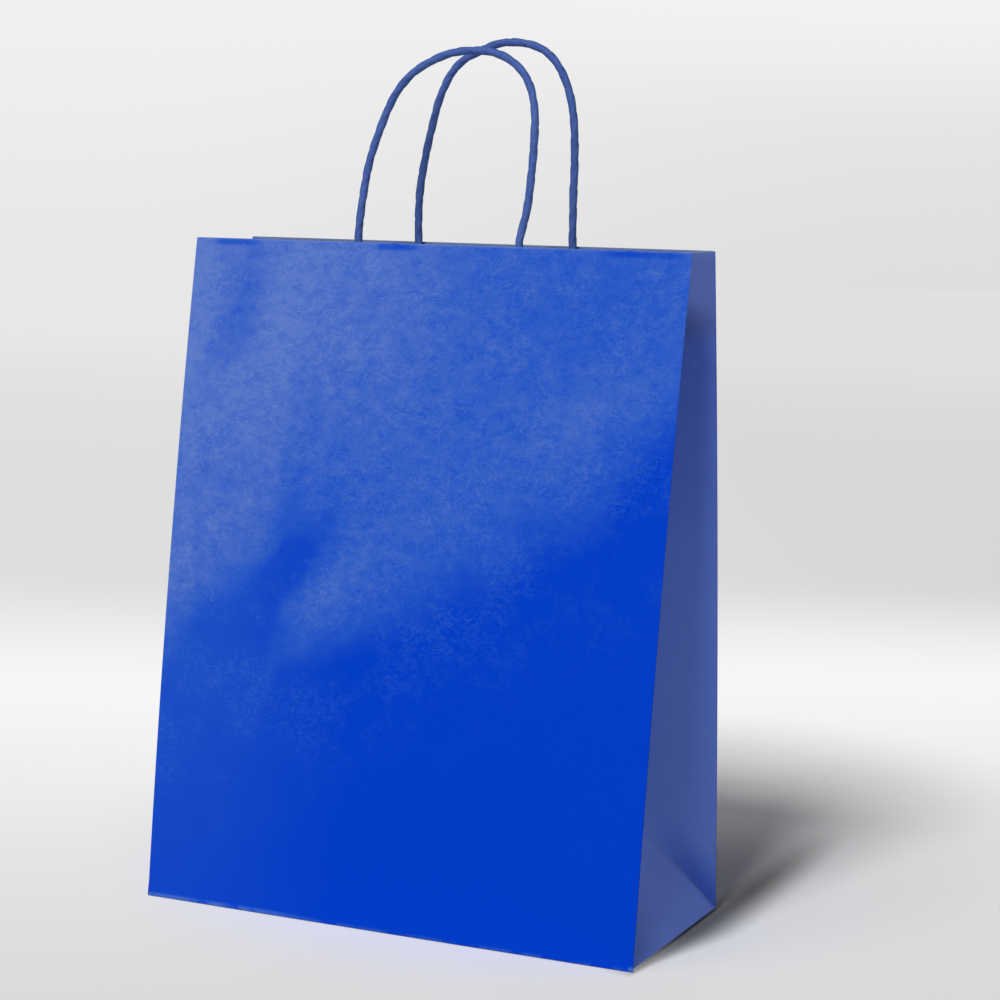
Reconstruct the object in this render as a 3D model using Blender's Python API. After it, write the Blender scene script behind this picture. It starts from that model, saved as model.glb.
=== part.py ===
"""Paper carrier bag with a block bottom, side gussets, a turned-over top and two cord handles.

The bag stands on the floor at z = 0 with its mouth up, in metres. Its wide front faces -Y, and
the centre of its bottom is the origin. It is open for use, so the front and back lean together
towards the mouth and each gusset folds in along its middle crease.
"""

import math

import bmesh
import bpy
from mathutils import Vector

# The folded sheet
WIDTH = 0.240
DEPTH = 0.110
HEIGHT = 0.306
PAPER = 0.0002
LAYER_STEP = 0.0004
BOW = 0.003

# The mouth, which stands wider open at its left end than at its right
MOUTH_GAP_LEFT = 0.051
MOUTH_GAP_RIGHT = 0.0305
MOUTH_SHIFT_LEFT = 0.0040
MOUTH_SHIFT_RIGHT = 0.0018
HEM_DEPTH = 0.045
HEM_STEP = 0.0006

# The glued block bottom and the long glued seam
FLAP_LENGTH = 0.070
CORNER_CLEARANCE = 0.0008
SEAM_WIDTH = 0.015
SEAM_INSET = 0.004
SEAM_BOND = 0.00005

# The paper strips that hold the ends of each handle inside the mouth
STRIP_WIDTH = 0.152
STRIP_HEIGHT = 0.038
STRIP_DROP = 0.0025
STRIP_PAPER = 0.0003
RIB_SPREAD = 0.0015
CLEARANCE = 0.0003

# The handles, of tightly twisted paper cord
CORD = 0.0040
CORD_END_INSET = 0.003
HANDLE_PITCH = 0.078
HANDLE_LEAN = math.radians(5.0)
HANDLE_SQUARENESS = 2.8
HANDLE_SKEW_POWER = 1.4
FRONT_HANDLE_RISE = 0.0862
FRONT_HANDLE_OFFSET = 0.0014
FRONT_HANDLE_SKEW = 0.009
BACK_HANDLE_RISE = 0.0908
BACK_HANDLE_OFFSET = 0.0140
BACK_HANDLE_SKEW = 0.012

# Which way each side and each end lies from the middle of the bag
FRONT = -1
BACK = 1
LEFT = -1
RIGHT = 1

# How finely the curved sheet, the ribs and the cords are stepped
WALL_ROWS = 6
HEM_ROWS = 4
PANEL_COLUMNS = 8
GUSSET_COLUMNS = 5
RIB_STEPS = 6
LOOP_STEPS = 180
CORD_STEP = 0.009
FOLD_ANGLE = math.radians(12.0)


def clear_scene():
    for old in list(bpy.data.objects):
        bpy.data.objects.remove(old, do_unlink=True)


def paper_material(name, colour, roughness):
    material = bpy.data.materials.new(name)
    material.use_nodes = True
    shader = material.node_tree.nodes["Principled BSDF"]
    shader.inputs["Base Color"].default_value = (*colour, 1.0)
    shader.inputs["Roughness"].default_value = roughness
    shader.inputs["Metallic"].default_value = 0.0
    return material


def add_mesh(name, bm, material):
    """Turns a bmesh into a named object with its own material."""
    bmesh.ops.remove_doubles(bm, verts=bm.verts, dist=1e-6)
    mesh = bpy.data.meshes.new(name)
    bm.to_mesh(mesh)
    bm.free()
    mesh.shade_smooth()
    mesh.set_sharp_from_angle(angle=FOLD_ANGLE)
    mesh.materials.append(material)
    thing = bpy.data.objects.new(name, mesh)
    bpy.context.scene.collection.objects.link(thing)
    return thing


def thicken(thing, thickness):
    """Gives a sheet its thickness, half to each side."""
    solid = thing.modifiers.new("thickness", "SOLIDIFY")
    solid.thickness = thickness
    solid.offset = 0.0
    solid.use_even_offset = True
    solid.use_quality_normals = True


def face(bm, *points):
    """Adds one face of the sheet, its corners anticlockwise as seen from outside the bag."""
    return bm.faces.new([bm.verts.new(point) for point in points])


# Levels of the paper's middle plane in the bottom. The front flap is the outermost, then come
# its folded corners, the back flap, the back flap's corners, and the two end flaps.
FRONT_FLAP_LEVEL = PAPER / 2
FRONT_FOLD_LEVEL = FRONT_FLAP_LEVEL + LAYER_STEP
BACK_FLAP_LEVEL = FRONT_FOLD_LEVEL + LAYER_STEP
BACK_FOLD_LEVEL = BACK_FLAP_LEVEL + LAYER_STEP
END_FLAP_LEVEL = BACK_FOLD_LEVEL + LAYER_STEP


def flap_level(side):
    return FRONT_FLAP_LEVEL if side == FRONT else BACK_FLAP_LEVEL


def fold_level(side):
    return FRONT_FOLD_LEVEL if side == FRONT else BACK_FOLD_LEVEL


def mouth_y(side, end):
    gap = MOUTH_GAP_LEFT if end == LEFT else MOUTH_GAP_RIGHT
    shift = MOUTH_SHIFT_LEFT if end == LEFT else MOUTH_SHIFT_RIGHT
    return shift + side * gap / 2


def corner(side, end, run):
    """A point on an upright fold, between the front or back and a gusset, run up from its foot."""
    start = side * DEPTH / 2
    travel = mouth_y(side, end) - start
    share = run / HEIGHT
    rise = math.sqrt(1 - (travel / HEIGHT) ** 2)
    bulge = side * BOW * 4 * share * (1 - share)
    return Vector((end * WIDTH / 2, start + travel * share + bulge, flap_level(side) + run * rise))


def crease_drop(end):
    """How far the middle crease of a gusset lies below the folds beside it.

    The two 45 degree creases from the bottom corners meet half a gusset's width from the bottom
    fold, and the same half width joins that point to the upright folds.
    """
    front, back = corner(FRONT, end, DEPTH / 2), corner(BACK, end, DEPTH / 2)
    half_gap = (back.y - front.y) / 2
    height = (front.z + back.z) / 2 - END_FLAP_LEVEL
    return height - (half_gap ** 2 + height ** 2) / (2 * height)


def crease(end, run):
    """A point on the middle crease of a gusset, level with run on the upright folds."""
    front, back = corner(FRONT, end, run), corner(BACK, end, run)
    middle = (front + back) / 2
    drop = crease_drop(end)
    half_gap = (back.y - front.y) / 2
    inward = math.sqrt((DEPTH / 2) ** 2 - half_gap ** 2 - drop ** 2)
    return Vector((middle.x - end * inward, middle.y, middle.z - drop))


def panel_row(start, stop):
    """Even points along one row of the front or back, both ends included."""
    return [start.lerp(stop, step / PANEL_COLUMNS) for step in range(PANEL_COLUMNS + 1)]


def gusset_row(start, stop):
    """Even points along one row of half a gusset, both ends included."""
    return [start.lerp(stop, step / GUSSET_COLUMNS) for step in range(GUSSET_COLUMNS + 1)]


def ring(run):
    """The bag's section: along the front, the right gusset, along the back, the left gusset."""
    front = panel_row(corner(FRONT, LEFT, run), corner(FRONT, RIGHT, run))
    back = panel_row(corner(BACK, RIGHT, run), corner(BACK, LEFT, run))
    right = gusset_row(front[-1], crease(RIGHT, run)) + gusset_row(crease(RIGHT, run), back[0])[1:]
    left = gusset_row(back[-1], crease(LEFT, run)) + gusset_row(crease(LEFT, run), front[0])[1:]
    return [*front, *right[1:-1], *back, *left[1:-1]]


def inset_ring(points, distance):
    """The same section moved into the bag, square to each of its sides."""
    inset = []
    for index, point in enumerate(points):
        before = (point - points[index - 1]).xy.normalized()
        after = (points[(index + 1) % len(points)] - point).xy.normalized()
        normal_before = Vector((-before.y, before.x))
        normal_after = Vector((-after.y, after.x))
        move = (normal_before + normal_after) * distance / (1 + normal_before.dot(normal_after))
        inset.append(point + move.to_3d())
    return inset


def panel_point(side, across, run, inward=0.0):
    """A point of the front or back panel, or inward from it, across from the panel's middle."""
    share = across / WIDTH + 0.5
    here = corner(side, LEFT, run).lerp(corner(side, RIGHT, run), share)
    lower_run = run - CORD_STEP
    below = corner(side, LEFT, lower_run).lerp(corner(side, RIGHT, lower_run), share)
    along = (corner(side, RIGHT, run) - corner(side, LEFT, run)).normalized()
    normal = side * along.cross((here - below).normalized())
    return here + normal * inward


def join_rows(bm, lower, upper):
    """Pairs of triangles between two rows, so that both faces of the paper bend alike."""
    for index in range(len(lower) - 1):
        face(bm, lower[index], lower[index + 1], upper[index + 1])
        face(bm, lower[index], upper[index + 1], upper[index])


def wall_runs():
    """The rows of the walls from the gussets' lower creases up to the hem's lower edge."""
    knee, hem = DEPTH / 2, HEIGHT - HEM_DEPTH
    return [knee + (hem - knee) * step / WALL_ROWS for step in range(WALL_ROWS + 1)]


def hem_runs():
    return [HEIGHT - HEM_DEPTH * step / HEM_ROWS for step in range(HEM_ROWS, -1, -1)]


def foot(side, end):
    """Where an upright fold meets the bottom fold of its panel."""
    return corner(side, end, 0)


def hip(side, end):
    """The point of an upright fold at the level of the end flaps."""
    point = corner(side, end, END_FLAP_LEVEL - flap_level(side))
    point.z = END_FLAP_LEVEL
    return point


def flap_corner(side, end):
    """The corner of an end flap, clear of the panel beside it."""
    point = hip(side, end)
    point.y -= side * CORNER_CLEARANCE
    return point


def add_walls(bm):
    """The front, the back and the gussets, from the bottom folds to the top fold."""
    rings = [ring(run) for run in wall_runs() + hem_runs()[1:]]
    for lower, upper in zip(rings, rings[1:]):
        join_rows(bm, [*lower, lower[0]], [*upper, upper[0]])

    knee = DEPTH / 2
    for side in (FRONT, BACK):
        near, far = (LEFT, RIGHT) if side == FRONT else (RIGHT, LEFT)
        rows = [
            panel_row(foot(side, near), foot(side, far)),
            panel_row(hip(side, near), hip(side, far)),
            panel_row(corner(side, near, knee), corner(side, far, knee)),
        ]
        join_rows(bm, rows[0], rows[1])
        join_rows(bm, rows[1], rows[2])

    for end in (LEFT, RIGHT):
        near, far = (FRONT, BACK) if end == RIGHT else (BACK, FRONT)
        apex = crease(end, knee)
        face(bm, hip(near, end), *gusset_row(apex, corner(near, end, knee)))
        face(bm, hip(near, end), flap_corner(near, end), apex)
        face(bm, flap_corner(near, end), flap_corner(far, end), apex)
        face(bm, flap_corner(far, end), hip(far, end), apex)
        face(bm, hip(far, end), *gusset_row(corner(far, end, knee), apex))


def add_end_flap(bm, end):
    """One gusset's flap, and the two corners of the sheet folded at 45 degrees against it."""
    tip_x = end * (WIDTH / 2 - FLAP_LENGTH)
    near_x = end * (WIDTH / 2 - CORNER_CLEARANCE)
    flap = []
    for side in (FRONT, BACK):
        hinge = flap_corner(side, end)
        near = Vector((near_x, hinge.y, END_FLAP_LEVEL))
        tip = Vector((tip_x, hinge.y, END_FLAP_LEVEL))
        flap += [hinge, near, tip] if side == FRONT else [tip, near, hinge]

        near_fold = Vector((near_x, hinge.y, fold_level(side)))
        tip_fold = Vector((tip_x, hinge.y, fold_level(side)))
        far_fold = Vector((tip_x, side * (DEPTH / 2 - FLAP_LENGTH), fold_level(side)))
        near_flap = Vector((near_x, hinge.y, flap_level(side)))
        far_flap = Vector((tip_x, far_fold.y, flap_level(side)))
        turn = [near, near_fold, tip_fold, tip]
        web = [near_fold, far_fold, tip_fold]
        spine = [near_fold, near_flap, far_flap, far_fold]
        for points in (turn, web, spine):
            face(bm, *(points if side != end else reversed(points)))
    face(bm, *(flap if end == RIGHT else reversed(flap)))


def add_main_flap(bm, side):
    """The front or back flap, whose ends are cut back at 45 degrees by the folded corners."""
    near, far = (LEFT, RIGHT) if side == FRONT else (RIGHT, LEFT)
    hinge = panel_row(foot(side, near), foot(side, far))
    free = []
    for end in (far, near):
        beside = Vector((end * (WIDTH / 2 - CORNER_CLEARANCE), flap_corner(side, end).y, flap_level(side)))
        tip = Vector((end * (WIDTH / 2 - FLAP_LENGTH), side * (DEPTH / 2 - FLAP_LENGTH), flap_level(side)))
        free += [beside, tip] if end == far else [tip, beside]
    face(bm, *reversed(hinge + free))


def add_hem(bm):
    """The top edge turned over into the mouth all round."""
    top = ring(HEIGHT)
    rings = [inset_ring(ring(run), HEM_STEP) for run in reversed(hem_runs())]
    for outer, inner in zip([top, *rings], rings):
        join_rows(bm, [*outer, outer[0]], [*inner, inner[0]])


def make_seam():
    """The strip of the sheet's other edge, lying inside the back along its left fold."""
    bm = bmesh.new()
    near = -WIDTH / 2 + SEAM_INSET
    runs = [END_FLAP_LEVEL, *wall_runs()]
    runs[-1] -= CLEARANCE
    depth = PAPER - SEAM_BOND
    for lower, upper in zip(runs, runs[1:]):
        face(
            bm,
            panel_point(BACK, near + SEAM_WIDTH, lower, depth),
            panel_point(BACK, near, lower, depth),
            panel_point(BACK, near, upper, depth),
            panel_point(BACK, near + SEAM_WIDTH, upper, depth),
        )
    seam = add_mesh("seam_lap", bm, bpy.data.materials["bag_paper"])
    thicken(seam, PAPER)
    seam.hide_render = True
    seam.display_type = "WIRE"
    return seam


def make_bag():
    material = paper_material("bag_paper", (0.012, 0.075, 0.52), 0.45)
    bm = bmesh.new()
    add_walls(bm)
    for end in (LEFT, RIGHT):
        add_end_flap(bm, end)
    for side in (FRONT, BACK):
        add_main_flap(bm, side)
    add_hem(bm)
    bag = add_mesh("bag_body", bm, material)
    thicken(bag, PAPER)
    join = bag.modifiers.new("glued seam", "BOOLEAN")
    join.operation = "UNION"
    join.solver = "EXACT"
    join.object = make_seam()
    return bag


# Distances inward from the middle of a panel's paper, in the order in which the pieces lie.
BACKING_INWARD = HEM_STEP + PAPER / 2 + CLEARANCE + STRIP_PAPER / 2
COVER_INWARD = BACKING_INWARD + STRIP_PAPER + CLEARANCE
CORD_INWARD = BACKING_INWARD + STRIP_PAPER / 2 + CLEARANCE + CORD / 2
RIB_RADIUS = CORD / 2 + CLEARANCE + STRIP_PAPER / 2


def strip_runs():
    top = HEIGHT - STRIP_DROP
    return top - STRIP_HEIGHT, top


def make_strip(name, side, profile, material):
    """A paper strip across the inside of a panel, from its profile of (across, inward) points."""
    bottom, top = strip_runs()
    bm = bmesh.new()
    for start, stop in zip(profile, profile[1:]):
        face(
            bm,
            panel_point(side, start[0], bottom, start[1]),
            panel_point(side, stop[0], bottom, stop[1]),
            panel_point(side, stop[0], top, stop[1]),
            panel_point(side, start[0], top, start[1]),
        )
    strip = add_mesh(name, bm, material)
    thicken(strip, STRIP_PAPER)
    return strip


def backing_profile(offset):
    """Flat against the turned-over hem."""
    start, step = offset - STRIP_WIDTH / 2, STRIP_WIDTH / PANEL_COLUMNS
    return [(start + step * column, BACKING_INWARD) for column in range(PANEL_COLUMNS + 1)]


def cover_profile(offset):
    """Flat on the backing strip, with a rib pressed up over each leg of the handle."""
    profile = [(offset - STRIP_WIDTH / 2, COVER_INWARD)]
    for leg in (LEFT, RIGHT):
        middle = offset + leg * HANDLE_PITCH / 2
        foot = RIB_RADIUS + RIB_SPREAD
        profile.append((middle - foot, COVER_INWARD))
        for step in range(RIB_STEPS + 1):
            angle = math.pi * (1 - step / RIB_STEPS)
            profile.append(
                (middle + RIB_RADIUS * math.cos(angle), CORD_INWARD + RIB_RADIUS * math.sin(angle))
            )
        profile.append((middle + foot, COVER_INWARD))
    profile.append((offset + STRIP_WIDTH / 2, COVER_INWARD))
    return profile


def loop_points(rise, offset, skew):
    """The arch of a handle above the mouth, as even steps of (across, height)."""
    fine = []
    for step in range(LOOP_STEPS + 1):
        angle = math.pi * step / LOOP_STEPS
        reach = abs(math.cos(angle)) ** (2 / HANDLE_SQUARENESS)
        height = rise * max(0.0, math.sin(angle)) ** (2 / HANDLE_SQUARENESS)
        across = math.copysign(reach, -math.cos(angle)) * HANDLE_PITCH / 2
        aside = skew * (height / rise) ** HANDLE_SKEW_POWER
        fine.append(Vector((offset + across + aside, height)))
    lengths = [0.0]
    for before, after in zip(fine, fine[1:]):
        lengths.append(lengths[-1] + (after - before).length)
    count = round(lengths[-1] / CORD_STEP)
    even = []
    index = 0
    for step in range(count + 1):
        goal = lengths[-1] * step / count
        while index < len(fine) - 2 and lengths[index + 1] < goal:
            index += 1
        share = (goal - lengths[index]) / (lengths[index + 1] - lengths[index])
        even.append(fine[index].lerp(fine[index + 1], share))
    return even


def make_handle(name, side, rise, offset, skew, material):
    """One cord: up out of its strips, over in an arch and down again."""
    bottom = strip_runs()[0] + CORD_END_INSET
    leg_steps = math.ceil((HEIGHT - bottom) / CORD_STEP)
    route = []
    for step in range(leg_steps):
        run = bottom + (HEIGHT - bottom) * step / leg_steps
        route.append(panel_point(side, offset - HANDLE_PITCH / 2, run, CORD_INWARD))
    upward = Vector((0, -side * math.sin(HANDLE_LEAN), math.cos(HANDLE_LEAN)))
    for across, height in loop_points(rise, offset, skew):
        route.append(panel_point(side, across, HEIGHT, CORD_INWARD) + upward * height)
    for step in reversed(range(leg_steps)):
        run = bottom + (HEIGHT - bottom) * step / leg_steps
        route.append(panel_point(side, offset + HANDLE_PITCH / 2, run, CORD_INWARD))

    curve = bpy.data.curves.new(name, "CURVE")
    curve.dimensions = "3D"
    curve.bevel_depth = CORD / 2
    curve.bevel_resolution = 2
    curve.use_fill_caps = True
    spline = curve.splines.new("POLY")
    spline.points.add(len(route) - 1)
    for point, place in zip(spline.points, route):
        point.co = (*place, 1.0)
    spline.use_smooth = True
    curve.materials.append(material)
    handle = bpy.data.objects.new(name, curve)
    bpy.context.scene.collection.objects.link(handle)
    return handle


def make_handles():
    sizes = {
        FRONT: ("front", FRONT_HANDLE_RISE, FRONT_HANDLE_OFFSET, FRONT_HANDLE_SKEW),
        BACK: ("back", BACK_HANDLE_RISE, BACK_HANDLE_OFFSET, BACK_HANDLE_SKEW),
    }
    for side, (word, rise, offset, skew) in sizes.items():
        cord_paper = paper_material(word + "_cord_paper", (0.03, 0.10, 0.42), 0.6)
        backing_paper = paper_material(word + "_backing_paper", (0.50, 0.54, 0.62), 0.7)
        cover_paper = paper_material(word + "_cover_paper", (0.50, 0.54, 0.62), 0.7)
        make_strip(word + "_backing_strip", side, backing_profile(offset), backing_paper)
        make_strip(word + "_cover_strip", side, cover_profile(offset), cover_paper)
        make_handle(word + "_handle", side, rise, offset, skew, cord_paper)


clear_scene()
make_bag()
make_handles()
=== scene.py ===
import math

import bmesh
import bpy
from mathutils import Matrix, Vector, noise


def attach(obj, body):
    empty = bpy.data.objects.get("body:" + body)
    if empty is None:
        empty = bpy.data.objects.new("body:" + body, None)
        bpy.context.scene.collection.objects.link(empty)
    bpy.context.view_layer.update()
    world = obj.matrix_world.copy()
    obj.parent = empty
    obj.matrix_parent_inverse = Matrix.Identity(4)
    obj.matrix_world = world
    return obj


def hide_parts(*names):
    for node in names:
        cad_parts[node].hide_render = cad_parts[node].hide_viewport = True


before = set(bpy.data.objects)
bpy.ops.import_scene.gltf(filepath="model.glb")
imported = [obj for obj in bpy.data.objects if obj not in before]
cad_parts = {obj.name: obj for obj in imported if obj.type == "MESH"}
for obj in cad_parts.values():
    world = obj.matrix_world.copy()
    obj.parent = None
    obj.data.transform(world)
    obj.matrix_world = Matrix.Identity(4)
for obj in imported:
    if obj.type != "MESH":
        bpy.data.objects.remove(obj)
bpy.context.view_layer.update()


# The sheet. One piece of white paper, printed blue on its outside, is folded and glued into the
# bag: a front, a back, and at each end a gusset that folds in along its middle crease. The front
# and back lean together towards the mouth, which stands wider open at the left than at the right.

FRONT, BACK = -1, 1
LEFT, RIGHT = -1, 1
WIDTH, DEPTH, HEIGHT = 0.240, 0.110, 0.306
PAPER = 0.0002
BOW = 0.003
MOUTH_GAP = {LEFT: 0.051, RIGHT: 0.0305}
MOUTH_SHIFT = {LEFT: 0.0040, RIGHT: 0.0018}
KNEE = DEPTH / 2

# The bottom's layers from below: the front's flap, its folded corners, the back's flap, its folded
# corners, and the two end flaps.
LAYER_STEP = 0.0004
FLAP_LEVEL = {FRONT: PAPER / 2}
FOLD_LEVEL = {FRONT: FLAP_LEVEL[FRONT] + LAYER_STEP}
FLAP_LEVEL[BACK] = FOLD_LEVEL[FRONT] + LAYER_STEP
FOLD_LEVEL[BACK] = FLAP_LEVEL[BACK] + LAYER_STEP
END_FLAP_LEVEL = FOLD_LEVEL[BACK] + LAYER_STEP

# Paper that has been handled stands in slight waves, with dimples on them. It is held straight
# near its folds, its bottom and its mouth. Each kind has its height and how closely it repeats,
# across and up, and a number that picks another part of the noise for each side.
WAVE, WAVE_ACROSS, WAVE_UP, WAVE_SIDE = 0.0007, 11, 8, 3.7
DIMPLE, DIMPLE_ACROSS, DIMPLE_UP, DIMPLE_SIDE = 0.00016, 31, 24, 9.1
GUSSET_WAVE, GUSSET_ACROSS, GUSSET_UP, GUSSET_SIDE, GUSSET_END = 0.0009, 1.3, 9, 5.3, 20
STRAIGHT_SIDE, STRAIGHT_FOOT, STRAIGHT_MOUTH, MOUTH_CALM = 0.035, 0.05, 0.06, 0.6
GUSSET_STRAIGHT_FOOT = (0.004, 0.04)

PANEL_COLUMNS, GUSSET_COLUMNS, CREASE_COLUMNS, FOLD_COLUMNS = 96, 18, 14, 4
KNEE_ROWS, WALL_ROWS, HEM_ROWS, TOP_ROWS = 20, 84, 16, 6
FOLD_REACH, FOLD_SHARP_BELOW = 0.0006, 0.006
CREASE_REACH, CREASE_SHARP_BELOW = 0.0007, 0.020
KNEE_SHARPENING = 0.003


def smooth(low, high, value):
    """0 up to low, 1 from high on, and a soft rise between them."""
    share = min(1.0, max(0.0, (value - low) / (high - low)))
    return share * share * (3 - 2 * share)


def upright_fold(side, end, run):
    """A point on the fold between the front or back and a gusset, run up from its foot."""
    start = side * DEPTH / 2
    travel = MOUTH_SHIFT[end] + side * MOUTH_GAP[end] / 2 - start
    share = run / HEIGHT
    rise = math.sqrt(1 - (travel / HEIGHT) ** 2)
    bulge = side * BOW * 4 * share * (1 - share)
    return Vector((end * WIDTH / 2, start + travel * share + bulge, FLAP_LEVEL[side] + run * rise))


def crease(end, run):
    """A point on the middle crease of a gusset, level with run on the folds beside it."""
    knee_front, knee_back = upright_fold(FRONT, end, KNEE), upright_fold(BACK, end, KNEE)
    knee_gap = (knee_back.y - knee_front.y) / 2
    height = (knee_front.z + knee_back.z) / 2 - END_FLAP_LEVEL
    drop = height - (knee_gap ** 2 + height ** 2) / (2 * height)
    front, back = upright_fold(FRONT, end, run), upright_fold(BACK, end, run)
    half_gap = (back.y - front.y) / 2
    inward = math.sqrt(KNEE ** 2 - half_gap ** 2 - drop ** 2)
    middle = (front + back) / 2
    return Vector((middle.x - end * inward, middle.y, middle.z - drop))


def hip(side, end):
    """Where an upright fold meets the level of the end flaps."""
    point = upright_fold(side, end, END_FLAP_LEVEL - FLAP_LEVEL[side])
    point.z = END_FLAP_LEVEL
    return point


def ripple(side, across, run):
    """How far the paper of the front or back stands off its flat shape."""
    calm = smooth(0, STRAIGHT_SIDE, WIDTH / 2 - abs(across)) * smooth(0, STRAIGHT_FOOT, run)
    calm *= 1 - MOUTH_CALM * smooth(HEIGHT - STRAIGHT_MOUTH, HEIGHT, run)
    wave = noise.noise(Vector((across * WAVE_ACROSS, run * WAVE_UP, side * WAVE_SIDE)))
    dimple_place = Vector((across * DIMPLE_ACROSS, run * DIMPLE_UP, side * DIMPLE_SIDE + 4))
    dimple = noise.noise(dimple_place)
    return side * calm * (WAVE * wave + DIMPLE * dimple)


def gusset_ripple(side, end, share, run):
    """The same for half a gusset, share of the way from its upright fold to the crease."""
    calm = math.sin(math.pi * share) * smooth(*GUSSET_STRAIGHT_FOOT, run)
    place = Vector((share * GUSSET_ACROSS + GUSSET_END * end, run * GUSSET_UP, side * GUSSET_SIDE))
    return GUSSET_WAVE * calm * noise.noise(place)


def wall_corners(run):
    """The upright folds at that run, and each gusset's crease as either half of it reaches it."""
    corners = {}
    for end in (LEFT, RIGHT):
        for side in (FRONT, BACK):
            if run >= KNEE:
                corners["fold", side, end] = upright_fold(side, end, run)
                corners["crease", side, end] = crease(end, run)
                continue
            share = run / KNEE
            low = END_FLAP_LEVEL - FLAP_LEVEL[side]
            fold = upright_fold(side, end, low + (KNEE - low) * share)
            corners["fold", side, end] = fold if share else hip(side, end)
            corners["crease", side, end] = hip(side, end).lerp(crease(end, KNEE), share)
    return corners


def inset(corners, distance):
    """The corners moved into the bag, square to the walls that meet there."""
    order = [
        ("fold", FRONT, LEFT), ("fold", FRONT, RIGHT), ("crease", FRONT, RIGHT),
        ("fold", BACK, RIGHT), ("fold", BACK, LEFT), ("crease", FRONT, LEFT),
    ]
    points = [corners[name] for name in order]
    moved = {}
    for place, name in enumerate(order):
        point, following = points[place], points[(place + 1) % len(points)]
        before = (point - points[place - 1]).xy.normalized()
        after = (following - point).xy.normalized()
        normal_before = Vector((-before.y, before.x))
        normal_after = Vector((-after.y, after.x))
        move = (normal_before + normal_after) * distance / (1 + normal_before.dot(normal_after))
        moved[name] = point + move.to_3d()
    for end in (LEFT, RIGHT):
        moved["crease", BACK, end] = moved["crease", FRONT, end]
    return moved


def bend(start, corner, stop, steps):
    """Points round a fold, both ends included."""
    return [
        start * (1 - t) ** 2 + corner * 2 * t * (1 - t) + stop * t * t
        for t in (step / steps for step in range(steps + 1))
    ]


def beside(corner, other, distance):
    """The point that lies a distance from the corner, on the way to the other."""
    return corner + (other - corner).normalized() * distance


def half_gusset(side, end, start, stop, run, outgoing):
    """Points across half a gusset, away from its upright fold or back to it."""
    along = (stop - start).xy.normalized()
    normal = Vector((-along.y, along.x, 0))
    points = []
    for column in range(GUSSET_COLUMNS):
        share = (column + 1 if outgoing else column) / GUSSET_COLUMNS
        from_fold = share if outgoing else 1 - share
        points.append(start.lerp(stop, share) + normal * gusset_ripple(side, end, from_fold, run))
    return points


def wall_ring(run, inward=0.0):
    """The walls at that run as points: the front, the right gusset, the back, the left gusset."""
    corners = wall_corners(run)
    if inward:
        corners = inset(corners, inward)
    fold_reach = FOLD_REACH * smooth(0, FOLD_SHARP_BELOW, run)
    crease_reach = CREASE_REACH * smooth(0, CREASE_SHARP_BELOW, run)
    panel_edge, gusset_edge, crease_edge = {}, {}, {}
    for end in (LEFT, RIGHT):
        for side in (FRONT, BACK):
            fold, middle = corners["fold", side, end], corners["crease", side, end]
            panel_edge[side, end] = beside(fold, corners["fold", side, -end], fold_reach)
            gusset_edge[side, end] = beside(fold, middle, fold_reach)
            crease_edge[side, end] = beside(middle, gusset_edge[side, end], crease_reach)

    sharpness = 1.0 if run >= KNEE else max(0.0, 1 - (KNEE - run) / KNEE_SHARPENING)
    points = []
    for side, begin, end in ((FRONT, LEFT, RIGHT), (BACK, RIGHT, LEFT)):
        first, last = panel_edge[side, begin], panel_edge[side, end]
        fold = corners["fold", side, begin]
        points += bend(gusset_edge[side, begin], fold, first, FOLD_COLUMNS)[:-1]
        for column in range(PANEL_COLUMNS + 1):
            point = first.lerp(last, column / PANEL_COLUMNS)
            point.y += ripple(side, point.x, run)
            points.append(point)
        points += bend(last, corners["fold", side, end], gusset_edge[side, end], FOLD_COLUMNS)[1:]

        near, far = crease_edge[side, end], crease_edge[-side, end]
        sharp = (corners["crease", side, end] + corners["crease", -side, end]) / 2
        turn = ((near + far) / 2).lerp(sharp, sharpness)
        points += half_gusset(side, end, gusset_edge[side, end], near, run, True)
        points += bend(near, turn, far, CREASE_COLUMNS)[1:-1]
        points += half_gusset(-side, end, far, gusset_edge[-side, end], run, False)
    return points


# The walls rise from the end flaps' level to the top fold, turn over there and come down again
# inside the mouth as the hem. Each corner of the bottom is folded at 45 degrees, so that the end
# flaps lie inside and the front's and back's flaps close over them.

FLAP_LENGTH = 0.070
CORNER_CLEARANCE = 0.0008
BOTTOM_FOLD = 0.0005
FLAP_ROWS, BOTTOM_FOLD_ROWS = 10, 4
HEM_DEPTH = 0.045
HEM_STEP = 0.0006
SEAM_INSET, SEAM_WIDTH, SEAM_COLUMNS = 0.004, 0.015, 6
SEAM_FOOT, SEAM_HEM_GAP, SEAM_BOND = 0.003, 0.0005, 0.00005
FACING_REACH = 0.009
WELD, SLIVER = 0.00002, 0.00001
SHARP_FOLD = math.radians(28)

FRONT_PRINT, BACK_PRINT, GUSSET_PRINT, HEM_PRINT = 0, 1, 2, 3
PANEL_SPAN = FOLD_COLUMNS * 2 + PANEL_COLUMNS
HALF_RING = PANEL_SPAN + GUSSET_COLUMNS * 2 + CREASE_COLUMNS


def panel_point(side, across, run, inward=0.0):
    """A point of the front or back, or inward from it, across from the panel's middle."""
    share = across / WIDTH + 0.5
    here = upright_fold(side, LEFT, run).lerp(upright_fold(side, RIGHT, run), share)
    lower = run - FACING_REACH
    below = upright_fold(side, LEFT, lower).lerp(upright_fold(side, RIGHT, lower), share)
    along = (upright_fold(side, RIGHT, run) - upright_fold(side, LEFT, run)).normalized()
    normal = side * along.cross((here - below).normalized())
    here.y += ripple(side, across, min(run, HEIGHT))
    return here + normal * inward


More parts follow.
